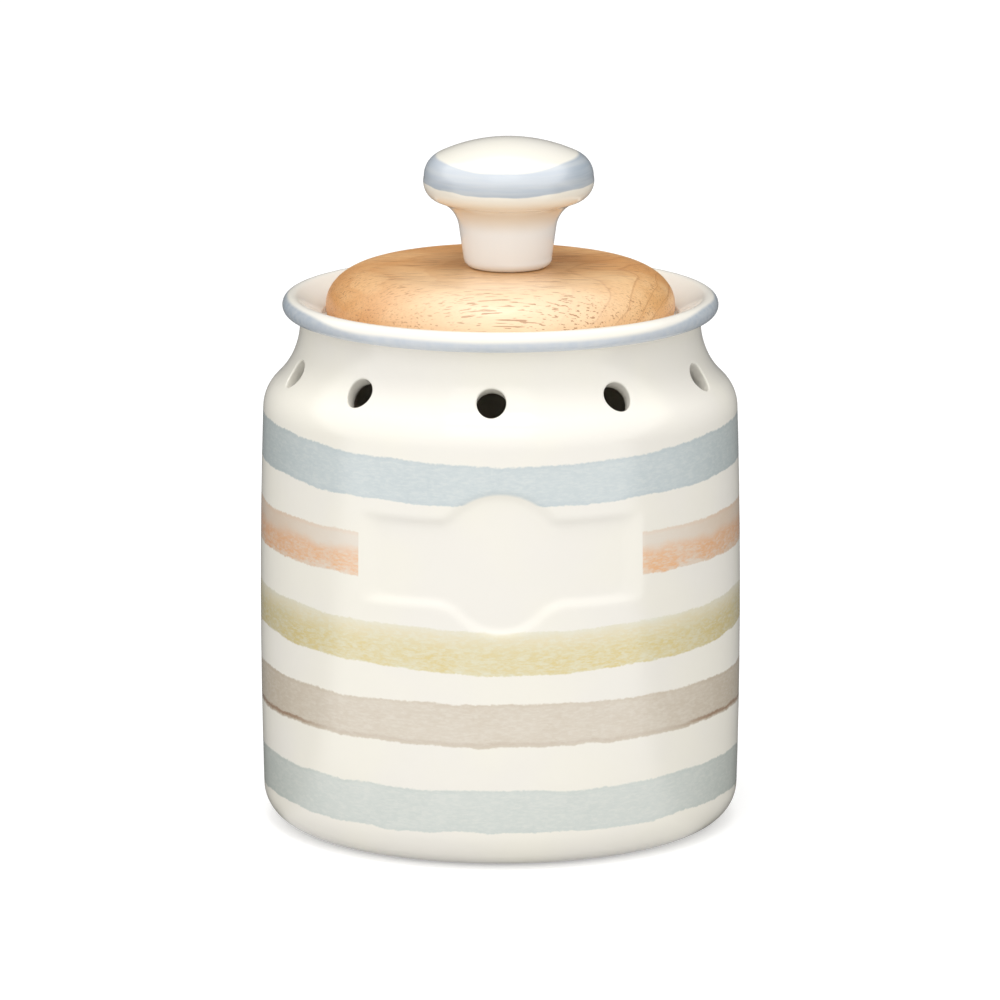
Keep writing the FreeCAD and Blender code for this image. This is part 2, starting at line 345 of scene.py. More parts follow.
@dataclass(frozen=True)
class Glaze:
    """Cream glaze over white stoneware, with the paint that lies under it.

    rim_climb is the angle in radians by which the rim's band climbs at the sides, and brush
    says how fine the marks of the brush are along a stripe and up it.
    """

    cream: Colour = linear(240, 236, 227)
    cloud: Colour = linear(242, 238, 226)
    clay: Colour = linear(226, 214, 196)
    blue: Colour = linear(202, 209, 217)
    deep_and_shaded_blue: Colour = linear(170, 180, 190)
    stem_painted_light: Colour = linear(243, 246, 247)
    cove_shade: Colour = (0.9, 0.81, 0.7)
    rim_climb: float = 0.9
    brush: tuple[float, float] = (0.42, 1.25)
    thread: Colour = linear(146, 106, 70)
    roughness: float = 0.11
    clay_roughness: float = 0.6
    glass: float = 1.5
    stripes: tuple[Stripe, ...] = (
        Stripe(91.9, 102.6, linear(214, 221, 220), linear(184, 196, 200), 0.9, 1.5,
               pool=0.5, seed=3.0),
        Stripe(72.0, 83.0, linear(232, 222, 208), linear(237, 187, 142), 0.2, 0.3,
               pool_from=0.06, pool_to=0.6, pool=0.95, seed=11.0, gap_half_arc=37.2, rim=0.15,
               side_shade=(0.86, 0.76, 0.68)),
        Stripe(50.6, 61.0, linear(226, 225, 204), linear(221, 202, 138), 1.2, 0.9,
               pool_from=-0.1, pool_to=0.98, pool=0.92, top_strength=0.6, seed=23.0, rim=0.0,
               side_shade=(0.8, 0.78, 0.74)),
        Stripe(31.2, 41.7, linear(224, 216, 202), linear(200, 184, 162), 0.2, 0.2,
               pool=0.5, seed=37.0, line=1.0, side_shade=(0.79, 0.76, 0.72)),
        Stripe(9.7, 20.3, linear(221, 224, 218), linear(198, 206, 201), 0.2, 0.2,
               pool=0.55, seed=53.0),
    )

    def base(self, graph: Graph, place: bpy.types.NodeSocket) -> bpy.types.NodeSocket:
        """Cream colour that pools a little unevenly."""
        clouds = graph.span(graph.noise(place, 0.035, 2.0), 0.35, 0.65)
        return graph.mix(clouds, self.cream, self.cloud)

    def stripe(self, graph: Graph, under: object, stripe: Stripe, place: bpy.types.NodeSocket,
               height: bpy.types.NodeSocket, swing: bpy.types.NodeSocket, arc: bpy.types.NodeSocket,
               side: bpy.types.NodeSocket) -> bpy.types.NodeSocket:
        """Lay one watercolour stripe over the colour so far.

        Args:
            graph: material being made.
            under: colour so far.
            stripe: the stripe's edges and colours.
            place: point on the jar.
            height: height of the point.
            swing: 1 at the sides and -1 at the front and back.
            arc: distance round the wall from the front.
            side: 0 at the front and back, rising to 1 at the sides, where the stripe is painted darker as
                shade.

        Returns:
            The colour with the stripe on it.
        """
        seed = stripe.seed
        here = graph.moved(place, (seed * 7.0, seed * 3.0, seed * 5.0))
        along, up = self.brush
        brush = graph.join(graph.times(arc, along), seed, graph.times(height, up))
        drift = graph.sway(graph.noise(here, 0.03, 1.0), stripe.drift)
        wave = graph.sway(graph.noise(here, 0.12, 2.0), stripe.wave)
        fray = graph.sway(graph.noise(here, 1.1, 2.0, 0.6), stripe.fray)
        low = graph.math("MULTIPLY_ADD", swing, stripe.low_swing, stripe.low)
        low = graph.math("ADD", low, graph.math("ADD", graph.math("ADD", drift, wave), fray))
        high = graph.math("MULTIPLY_ADD", swing, stripe.high_swing, stripe.high)
        high = graph.math("ADD", high, graph.math("SUBTRACT", drift, graph.times(wave, stripe.wave_above)))
        high = graph.math("ADD", high, graph.times(fray, stripe.fray_above))
        enter = graph.span(height, graph.math("SUBTRACT", low, 0.2), graph.math("ADD", low, 0.25))
        leave = graph.span(height, graph.math("SUBTRACT", high, 0.25),
                           graph.math("ADD", high, 0.3), 1.0, 0.0)
        mask = graph.times(enter, leave)
        if stripe.gap_half_arc:
            gap = stripe.gap_half_arc
            mask = graph.times(mask, graph.span(graph.math("ABSOLUTE", arc), gap - 0.12, gap + 0.12))

        blotch = graph.noise(here, 0.1, 3.0, 0.55)
        speck = graph.noise(brush, 1.5, 3.0, 0.62)
        share = graph.math("DIVIDE", graph.math("SUBTRACT", height, low),
                           graph.math("SUBTRACT", high, low))
        level = graph.math("ADD", share, graph.sway(blotch, 0.5))
        level = graph.math("ADD", level, graph.sway(speck, 0.3))
        rise = graph.span(level, stripe.pool_from - 0.1, stripe.pool_from + 0.12)
        fall = graph.span(level, stripe.pool_to - 0.16, stripe.pool_to + 0.16, 1.0, 0.0)
        pigment = graph.times(rise, fall, graph.span(blotch, 0.25, 0.75, 0.65, 1.0),
                              graph.span(speck, 0.3, 0.7, 0.5, 1.15), stripe.pool)
        tint = graph.mix(pigment, stripe.wash, stripe.deep)
        from_top = graph.math("ABSOLUTE", graph.math("SUBTRACT", height, high))
        from_foot = graph.math("ABSOLUTE", graph.math("SUBTRACT", height, low))
        edge = graph.span(graph.math("MINIMUM", from_top, from_foot), 0.3, 1.3, stripe.rim, 0.0)
        tint = graph.mix(edge, tint, stripe.deep)
        if stripe.line:
            near = graph.math("SUBTRACT", height, graph.math("ADD", low, 0.9))
            near = graph.math("ADD", speck, graph.math("ABSOLUTE", near))
            thread = graph.times(graph.span(near, 0.65, 1.2, 1.0, 0.0),
                                 graph.span(side, 0.1, 0.7, 0.12, 0.75), stripe.line)
            tint = graph.mix(thread, tint, self.thread)
        # painted shade: the stripe's colour is darkened towards the sides, where the light falls off
        tint = graph.mix(side, tint, stripe.side_shade, Blend.MULTIPLY)
        if stripe.top_strength < 0.9:
            full = graph.span(level, 0.45, 0.95, 0.95, stripe.top_strength)
        else:
            full = graph.span(share, 0.6, 1.0, stripe.top_strength + 0.02, stripe.top_strength)
        veil = graph.times(mask, full, graph.span(speck, 0.25, 0.55, 0.9, 1.0))
        return graph.mix(veil, under, tint)

    def jar(self, form: "JarForm") -> bpy.types.Material:
        """The jar's glaze with its stripes, rim band and bare foot.

        Args:
            form: sizes of the jar.

        Returns:
            The finished material.
        """
        graph = Graph.paint("jar_glaze")
        place = graph.place()
        across, depth, height = graph.split(place)
        angle = graph.math("ARCTAN2", across, graph.times(depth, -1.0))
        arc = graph.times(angle, form.wall_radius)
        swing = graph.times(graph.math("COSINE", graph.times(angle, 2.0)), -1.0)
        facing = graph.math("ABSOLUTE", graph.math("COSINE", angle))
        # share of painted shade: 0 at the front and back, 1 at the sides, where the stripes and the rim
        # band are darkened
        side = graph.span(facing, 0.3, 0.85, 1.0, 0.0)
        reach = graph.length(across, depth)
        outside = graph.span(reach, form.wall_radius - form.wall_thickness, form.wall_radius - 3.0)
        colour = self.base(graph, place)
        painted = colour
        for stripe in self.stripes:
            painted = self.stripe(graph, painted, stripe, place, height, swing, arc, side)
        clear_of_plaque = graph.span(graph.stored(PLAQUE_FIELD), -0.5, 0.5, 1.0, 0.0)
        colour = graph.mix(graph.times(outside, clear_of_plaque), colour, painted)
        colour = self.rim_band(graph, colour, form, place, reach, height, side)
        edge = graph.math("MULTIPLY_ADD", graph.noise(place, 0.3), 0.5, height)
        ring = graph.times(graph.span(edge, 0.4, 0.75, 1.0, 0.0),
                           graph.span(reach, form.foot_inner - 0.6, form.foot_inner - 0.2))
        colour = graph.mix(ring, colour, self.clay)
        rough = graph.math("MULTIPLY_ADD", ring, self.clay_roughness, self.roughness)
        ripple = graph.bump(graph.noise(place, 0.12, 2.0), 0.05)
        skin = graph.bump(graph.noise(place, 1.6, 2.0), 0.004, ripple)
        return graph.surface(colour, Roughness=rough, Normal=skin, IOR=self.glass)

    def rim_band(self, graph: Graph, under: object, form: "JarForm", place: bpy.types.NodeSocket,
                 reach: bpy.types.NodeSocket, height: bpy.types.NodeSocket,
                 side: bpy.types.NodeSocket) -> bpy.types.NodeSocket:
        """Blue band painted on the outer and lower side of the rim's bead.

        Args:
            graph: material being made.
            under: colour so far.
            form: sizes of the jar.
            place: point on the jar.
            reach: distance of the point from the axis.
            height: height of the point.
            side: 0 at the front and back, rising to 1 at the sides, where the band climbs and is painted
                darker as shade.

        Returns:
            The colour with the band on it.
        """
        out = graph.math("SUBTRACT", reach, form.bead_centre[0])
        up = graph.math("SUBTRACT", height, form.bead_centre[1])
        turn = graph.math("ARCTAN2", up, out)
        turn = graph.math("ADD", turn, graph.sway(graph.noise(place, 0.045, 1.0), 0.5))
        climbed = graph.math("MULTIPLY_ADD", side, -self.rim_climb, turn)
        band = graph.times(
            graph.span(climbed, -0.15, 0.3, 1.0, 0.0),
            graph.span(turn, -1.52, -1.4),
            graph.span(height, form.bead_centre[1] - 3.1, form.bead_centre[1] - 2.5),
            graph.span(reach, form.neck_radius + 0.5, form.neck_radius + 1.1),
            graph.span(graph.noise(place, 0.5, 2.0), 0.2, 0.8, 0.78, 1.0))
        # painted shade: the band's blue darkens towards the sides
        return graph.mix(band, under, graph.mix(side, self.blue, self.deep_and_shaded_blue))

    def knob(self, form: "KnobForm") -> bpy.types.Material:
        """The knob's glaze, with painted light on the stem, painted warm shade in the cove, and the band
        round its widest part.

        Args:
            form: sizes of the knob.

        Returns:
            The finished material.
        """
        graph = Graph.paint("knob_glaze")
        place = graph.place()
        across, _, height = graph.split(place)
        aside = graph.math("ABSOLUTE", across)
        climb = graph.span(aside, 4.0, 20.5)
        lower = graph.math("MULTIPLY_ADD", graph.noise(place, 0.16, 2.0), 0.8, form.band_low - 0.4)
        lower = graph.math("MULTIPLY_ADD", climb, 0.8, lower)
        upper = graph.math("MULTIPLY_ADD", climb, 1.9, form.band_high)
        upper = graph.math("ADD", graph.sway(graph.noise(place, 0.06, 1.0), 0.7), upper)
        enter = graph.span(height, graph.math("SUBTRACT", lower, 0.2), graph.math("ADD", lower, 0.2))
        leave = graph.span(height, graph.math("SUBTRACT", upper, 0.25),
                           graph.math("ADD", upper, 0.35), 1.0, 0.0)
        brush = graph.noise(graph.scaled(place, (0.05, 0.05, 0.8)), 1.0, 2.0)
        band = graph.times(enter, leave, graph.span(brush, 0.3, 0.7, 0.82, 1.0))
        fall = graph.span(height, form.band_low + 1.0, form.band_low + 3.6, 0.8, 0.0)
        # deeper blue near the band's lower edge, and painted shade at the band's ends towards the sides
        deep_and_side_shade = graph.math("MAXIMUM", fall, graph.span(aside, 13.0, 20.5))
        tint = graph.mix(deep_and_side_shade, self.blue, self.deep_and_shaded_blue)

        low = graph.span(height, form.band_low - 7.0, form.band_low - 2.0, 1.0, 0.0)
        cove = graph.times(graph.span(height, form.band_low - 11.5, form.band_low - 6.0),
                           graph.span(height, form.band_low - 5.0, form.band_low - 1.0, 1.0, 0.0))
        # painted light: the stem is whiter than the glaze, to lift the shade and the warm bounce from the
        # lid
        colour = graph.mix(low, self.base(graph, place), self.stem_painted_light)
        # painted shade: the cove under the head is darkened and warmed, as shade and bounce light from the
        # wood
        colour = graph.mix(cove, colour, self.cove_shade, Blend.MULTIPLY)
        colour = graph.mix(band, colour, tint)
        ripple = graph.bump(graph.noise(place, 0.15, 2.0), 0.04)
        return graph.surface(colour, Roughness=self.roughness, Normal=ripple, IOR=self.glass)


@dataclass(frozen=True)
class Beech:
    """Oiled beech: warm tan, thin rings and many short dark flecks that run along X."""

    pale: Colour = linear(243, 202, 148)
    warm: Colour = linear(226, 172, 108)
    fleck: Colour = linear(150, 94, 48)
    ring: Colour = linear(186, 126, 72)
    glint: Colour = linear(245, 208, 155)
    sheen_colour: Colour = linear(252, 228, 196)
    left_back_shade: Colour = (0.86, 0.72, 0.58)
    ring_pitch: float = 4.2
    ring_bend: float = 9.0
    heart: tuple[float, float] = (-8.0, 84.0)
    tilt: float = 0.34
    sheen_share: float = 0.64
    mark_share: float = 0.72

    def dashes(self, graph: Graph, place: bpy.types.NodeSocket, size: Corner, level: float,
               seed: float) -> bpy.types.NodeSocket:
        """Scattered short dashes.

        Args:
            graph: material being made.
            place: point in the wood.
            size: how many dashes fit in a millimetre along each axis.
            level: noise level where a dash starts.
            seed: shift that tells one layer from another.

        Returns:
            1 on a dash and 0 elsewhere.
        """
        here = graph.moved(graph.scaled(place, size), (seed, seed, seed))
        return graph.span(graph.noise(here, 1.0, 1.5, 0.5), level, level + 0.05)

    def grain(self, graph: Graph, place: bpy.types.NodeSocket) -> bpy.types.NodeSocket:
        """Colour of the wood with its year rings, which arch to the right.

        Args:
            graph: material being made.
            place: point in the wood.

        Returns:
            The colour.
        """
        along, across, height = graph.split(place)
        bend = graph.noise(graph.scaled(place, (0.02, 0.04, 0.04)), 1.0, 2.0)
        side = graph.math("SUBTRACT", across, self.heart[0])
        lift = graph.math("SUBTRACT", height, self.heart[1])
        lift = graph.math("SUBTRACT", lift, graph.times(along, self.tilt))
        reach = graph.math("MULTIPLY_ADD", bend, self.ring_bend, graph.length(side, lift))
        saw = graph.math("FRACT", graph.math("DIVIDE", reach, self.ring_pitch))
        late = graph.times(graph.span(saw, 0.5, 0.93), graph.span(saw, 0.94, 1.0, 1.0, 0.0), 0.45)
        line = graph.times(graph.span(saw, 0.86, 0.93), graph.span(saw, 0.94, 0.99, 1.0, 0.0),
                           graph.span(along, 5.0, 34.0, 0.06, 0.5))
        cloud = graph.noise(graph.scaled(place, (0.03, 0.09, 0.09)), 1.0, 3.0)
        colour = graph.mix(graph.span(cloud, 0.3, 0.7), self.pale, self.warm)
        return graph.mix(line, graph.mix(late, colour, self.warm), self.ring)

    def material(self) -> bpy.types.Material:
        """The lid's wood, with a painted sheen in front and painted shade at the left and back."""
        graph = Graph.paint("beech")
        place = graph.place()
        along, across, _ = graph.split(place)
        fibre = graph.noise(graph.scaled(place, (0.3, 2.6, 2.6)), 1.0, 3.0, 0.6)
        colour = self.grain(graph, place)
        colour = graph.mix(graph.span(fibre, 0.42, 0.75, 0.0, 0.3), colour, self.fleck)
        colour = graph.mix(graph.span(fibre, 0.22, 0.42, 0.25, 0.0), colour, self.glint)

        # painted sheen: the front of the lid is paled where a soft light would shine on it
        painted_sheen = graph.times(graph.span(across, -38.0, 4.0, 1.0, 0.0),
                           graph.span(graph.math("ABSOLUTE", along), 8.0, 44.0, 1.0, 0.0),
                           self.sheen_share)
        colour = graph.mix(painted_sheen, colour, self.sheen_colour)
        # painted shade: the left and the back of the lid are darkened
        painted_shade = graph.math("MAXIMUM", graph.span(along, -46.0, 0.0, 0.9, 0.0),
                           graph.span(across, -18.0, 8.0, 0.0, 0.8))
        colour = graph.mix(painted_shade, colour, self.left_back_shade, Blend.MULTIPLY)

        patch = graph.noise(graph.scaled(place, (0.05, 0.1, 0.1)), 1.0, 1.0)
        short = self.dashes(graph, place, (0.2, 2.2, 2.2), 0.62, 3.0)
        longer = self.dashes(graph, place, (0.1, 1.5, 1.9), 0.63, 41.0)
        marks = graph.times(graph.math("MAXIMUM", short, longer),
                            graph.span(patch, 0.3, 0.65, 0.35, 1.0))
        colour = graph.mix(graph.times(marks, self.mark_share), colour, self.fleck)
        relief = graph.bump(graph.math("SUBTRACT", fibre, graph.times(marks, 0.6)), 0.06)
        rough = graph.span(fibre, 0.2, 0.8, 0.3, 0.44)
        return graph.surface(colour, Roughness=rough, Normal=relief, Specular_IOR_Level=0.8)


@dataclass(frozen=True)
class Fittings:
    """Finishes of the small parts under the lid."""

    brass: Colour = linear(196, 160, 96)
    zinc: Colour = linear(186, 188, 190)
    silicone: Colour = linear(228, 226, 220)
    tarnish: Colour = linear(120, 112, 100)
    dusty: Colour = linear(200, 197, 188)

    def metal(self, name: str, colour: Colour) -> bpy.types.Material:
        """Turned metal with faint tool marks."""
        graph = Graph.paint(name)
        place = graph.place()
        marks = graph.noise(graph.scaled(place, (0.3, 0.3, 6.0)), 1.0, 2.0)
        tone = graph.mix(graph.span(marks, 0.3, 0.7, 0.0, 0.25), colour, self.tarnish)
        rough = graph.span(marks, 0.3, 0.7, 0.25, 0.4)
        return graph.surface(tone, Metallic=1.0, Roughness=rough, Normal=graph.bump(marks, 0.01))

    def rubber(self) -> bpy.types.Material:
        """Pale matt silicone."""
        graph = Graph.paint("silicone")
        place = graph.place()
        dust = graph.noise(place, 1.1, 3.0)
        tone = graph.mix(graph.span(dust, 0.4, 0.8, 0.0, 0.2), self.silicone, self.dusty)
        return graph.surface(tone, Roughness=0.5, Normal=graph.bump(dust, 0.01), Subsurface_Weight=0.15)


def smooth(share: np.ndarray) -> np.ndarray:
    """Ease a share of 0 to 1 in and out."""
    held = np.clip(share, 0.0, 1.0)
    return held * held * (3.0 - 2.0 * held)


class Outline:
    """Points of a profile in the radius and height plane, with arcs cut into short steps."""

    def __init__(self, radius: float, height: float) -> None:
        """Start at a point, heading outwards."""
        self.points = [(radius, height)]
        self.heading = (1.0, 0.0)

    def line(self, radius: float, height: float, step: float = 1.5) -> "Outline":
        """A straight run, cut into steps."""
        first = np.array(self.points[-1])
        last = np.array((radius, height))
        length = float(np.linalg.norm(last - first))
        for share in np.linspace(0.0, 1.0, max(1, math.ceil(length / step)) + 1)[1:]:
            self.points.append(tuple(first + (last - first) * share))
        self.heading = tuple((last - first) / length)
        return self

    def eased(self, corners: Sequence[tuple[float, float]], ease: float, step: float) -> "Outline":
        """Straight runs through some corners, each softened by a small curve.

        Args:
            corners: the corners, of which the last stays sharp.
            ease: how far from a corner its curve starts.
            step: longest step on the runs.

        Returns:
            The outline, for the next stretch.
        """
        for corner, following in zip(corners[:-1], corners[1:]):
            here = np.array(self.points[-1])
            point = np.array(corner)
            away = np.array(following) - point
            back = (here - point) / np.linalg.norm(here - point)
            start = point + back * ease
            end = point + away / np.linalg.norm(away) * ease
            self.line(*start, step)
            for share in (0.25, 0.5, 0.75, 1.0):
                first = start + (point - start) * share
                last = point + (end - point) * share
                self.points.append(tuple(first + (last - first) * share))
        return self.line(*corners[-1], step)

    def arc(self, centre: tuple[float, float], reach: float, start: float, end: float,
            step: float = 0.8) -> "Outline":
        """An arc about a centre, between two bearings in degrees.

        Args:
            centre: radius and height of the arc's centre.
            reach: the arc's own radius.
            start: bearing where it starts, from the outward direction upwards.
            end: bearing where it ends.
            step: longest step along it.

        Returns:
            The outline, for the next stretch.
        """
        sweep = math.radians(end - start)
        count = max(2, math.ceil(abs(sweep) * reach / step))
        for share in np.linspace(0.0, 1.0, count + 1):
            bearing = math.radians(start) + sweep * share
            point = (centre[0] + reach * math.cos(bearing), centre[1] + reach * math.sin(bearing))
            if math.dist(point, self.points[-1]) > 0.02:
                self.points.append(point)
        side = math.copysign(1.0, sweep)
        self.heading = (-math.sin(bearing) * side, math.cos(bearing) * side)
        return self

    def tangent_arc(self, radius: float, height: float, step: float = 0.8) -> "Outline":
        """An arc that leaves along the present heading and ends at a point."""
        here = np.array(self.points[-1])
        chord = np.array((radius, height)) - here
        normal = np.array((-self.heading[1], self.heading[0]))
        reach = float(chord @ chord / (2.0 * normal @ chord))
        centre = here + normal * reach
        start = math.degrees(math.atan2(*(here - centre)[::-1]))
        end = math.degrees(math.atan2(*(here + chord - centre)[::-1]))
        sweep = (end - start + 180.0) % 360.0 - 180.0
        return self.arc(tuple(centre), abs(reach), start, start + sweep, step)


class Skin:
    """A mesh built from rings of points, in millimetres until it is made."""

    def __init__(self) -> None:
        """Start with no points."""
        self.blocks: list[np.ndarray] = []
        self.count = 0
        self.faces: list[tuple[int, ...]] = []

    def points(self, places: np.ndarray) -> np.ndarray:
        """Add points and return their numbers."""
        self.blocks.append(np.asarray(places, float))
        numbers = np.arange(self.count, self.count + len(places))
        self.count += len(places)
        return numbers

    def bridge(self, first: np.ndarray, last: np.ndarray,
               leave_out: Optional[np.ndarray] = None) -> None:
        """Join two closed rings with four-sided faces.

        Args:
            first: point numbers of one ring.
            last: point numbers of the other.
            leave_out: true for each face that stays open.
        """
        following = np.roll(np.arange(len(first)), -1)
        for here, then in enumerate(following):
            if leave_out is None or not leave_out[here]:
                self.faces.append((first[here], first[then], last[then], last[here]))

    def fan(self, ring: np.ndarray, middle: np.ndarray) -> None:
        """Close a ring with triangles to a middle point."""
        centre = self.points(middle.reshape(1, 3))[0]
        for here, then in zip(ring, np.roll(ring, -1)):
            self.faces.append((here, then, centre))

    def made(self, name: str) -> bpy.types.Object:
        """Make the smooth mesh object, in metres.

        Args:
            name: name of the piece.

        Returns:
            The new object, linked to the scene.
        """
        mesh = bpy.data.meshes.new(name)
        places = np.concatenate(self.blocks) * MM
        faces = [tuple(int(corner) for corner in face) for face in self.faces]
        mesh.from_pydata(places.tolist(), [], faces)
        shape = bmesh.new()
        shape.from_mesh(mesh)
        bmesh.ops.recalc_face_normals(shape, faces=shape.faces)
        shape.to_mesh(mesh)
        shape.free()
        mesh.shade_smooth()
        piece = bpy.data.objects.new(name, mesh)
        bpy.context.scene.collection.objects.link(piece)
        return piece


@dataclass(frozen=True)
class PlaqueForm:
    """Recessed panel with an ogee above and below, in millimetres seen from the front.

    top_share and bottom_share say how much of each bow belongs to its crown. The wall sinks
    to the full depth over slope, and starts to do so at spread outside the outline.
    """

    half_width: float = 32.8
    bottom: float = 66.7
    top: float = 87.2
    top_bow: float = 7.0
    top_bow_half_width: float = 15.4
    bottom_bow: float = 7.1
    bottom_bow_half_width: float = 16.8
    top_share: float = 0.78
    bottom_share: float = 0.6
    depth: float = 0.9
    slope: float = 2.9
    spread: float = 1.2
    corner_blend: float = 0.6
    side_ease: float = 0.5

    def bow(self, across: np.ndarray, rise: float, half_width: float, share: float) -> np.ndarray:
        """Height of an ogee bow above its level edge.

        Args:
            across: distance from the middle.
            rise: height of the crown.
            half_width: where the bow ends.
            share: how much of the bow belongs to its crown.

        Returns:
            The height at each distance.
        """
        turn = 2.0 * math.atan2(rise, half_width)
        both = half_width / math.sin(turn)
        crown = both * share
        hollow = both - crown
        off = np.abs(across)
        change = crown * math.sin(turn)
        top = rise - crown + np.sqrt(np.maximum(crown ** 2 - np.minimum(off, change) ** 2, 0.0))
        left = np.clip(half_width - off, 0.0, hollow)
        foot = hollow - np.sqrt(np.maximum(hollow ** 2 - left ** 2, 0.0))
        return np.where(off < change, top, foot)

    def inset(self, across: np.ndarray, height: np.ndarray) -> np.ndarray:
        """Distance inside the outline, soft at the corners and negative outside."""
        nudge = 0.05
        sides = []
        for rise, half_width, share, gap in (
                (self.top_bow, self.top_bow_half_width, self.top_share, self.top - height),
                (self.bottom_bow, self.bottom_bow_half_width, self.bottom_share, height - self.bottom)):
            level = self.bow(across, rise, half_width, share)
            lean = (self.bow(across + nudge, rise, half_width, share) - level) / nudge
            sides.append((gap + level) / np.sqrt(1.0 + lean ** 2))
        sides.append((self.half_width - np.abs(across)) * self.side_ease)
        low = np.minimum.reduce(sides)
        soft = sum(np.exp(-np.minimum(side - low, 30.0) / self.corner_blend) for side in sides)
        return low - self.corner_blend * np.log(soft)

    def sink(self, across: np.ndarray, height: np.ndarray) -> np.ndarray:
        """How far the wall is pressed in."""
        return self.depth * smooth((self.inset(across, height) + self.spread) / self.slope)


@dataclass(frozen=True)
class VentForm:
    """Holes cut by hand through the shoulder, in millimetres and degrees.

    Each rises outwards and flares inwards, and the flare is held back above, where the roof of
    the bore stays in sight. The holes are squashed a little by the slope that they are cut in.
    """

    count: int = 10
    radius: float = 3.6
    squash: float = 0.9
    height: float = 115.7
    first_angle: float = -2.4
    drift: tuple[float, ...] = (0.0, -0.9, -1.7, 0.6, -0.5, 0.4, 0.9, -0.7, 1.6, -2.3)
    rise: float = 30.0
    edge_round: float = 0.42
    inner_round: float = 1.9
    inner_depth: float = 3.3
    roof_hold: float = 0.68
    least_bore: float = 0.4
    half_angle: float = 7.8
    band: tuple[float, float] = (109.2, 120.8)
    inner_band: tuple[float, float] = (105.7, 119.2)
    band_rows: int = 14

    def angles(self) -> list[float]:
        """Bearing of each vent from the front, in radians."""
        pitch = 360.0 / self.count
        return [math.radians(self.first_angle + index * pitch + self.drift[index % len(self.drift)])
                for index in range(self.count)]


@dataclass(frozen=True)
class JarForm:
    """Sizes of the jar, in millimetres. Its shoulder's two arcs meet at turn degrees."""

    wall_radius: float = 60.0
    crown_height: float = 55.0
    foot_radius: float = 59.4
    top_radius: float = 59.15
    wall_thickness: float = 4.8
    base_round: float = 9.0
    floor_height: float = 6.0
    floor_round: float = 8.0
    foot_inner: float = 44.4
    foot_recess: float = 1.2
    height: float = 132.9
    shoulder_foot: float = 104.5
    shoulder_centre: tuple[float, float] = (49.15, 104.5)
    shoulder_round: float = 10.0
    neck_centre: tuple[float, float] = (69.89, 126.3)
    neck_round: float = 20.09
    neck_radius: float = 49.8
    turn: float = 46.43
    bead_centre: tuple[float, float] = (51.7, 130.4)
    bead_radius: float = 2.5
    under_round: float = 1.4
    seat_radius: float = 44.2
    seat_height: float = 127.0
    seat_wall: float = 1.3
    mouth_radius: float = 40.5
    mouth_foot: float = 122.2
    corner_round: float = 0.5
    columns: int = 480
    wobble: float = 0.11
    plaque: PlaqueForm = field(default_factory=PlaqueForm)
    vents: VentForm = field(default_factory=VentForm)

    def under_points(self) -> tuple[tuple[float, float], float]:
        """Centre of the small arc under the bead, and the bearing where they meet."""
        centre_radius = self.neck_radius + self.under_round
        reach = self.bead_radius + self.under_round
        drop = math.sqrt(reach ** 2 - (self.bead_centre[0] - centre_radius) ** 2)
        centre = (centre_radius, self.bead_centre[1] - drop)
        bearing = math.degrees(math.atan2(centre[1] - self.bead_centre[1], centre[0] - self.bead_centre[0]))
        return centre, bearing

    def slope_bearing(self) -> float:
        """Bearing on the bead where the slope down to the seat leaves it."""
        across = self.seat_radius - self.bead_centre[0]
        up = self.seat_height + self.seat_wall - self.bead_centre[1]
        turn = math.acos(self.bead_radius / math.hypot(across, up))
        return math.degrees(math.atan2(up, across) - turn) % 360.0


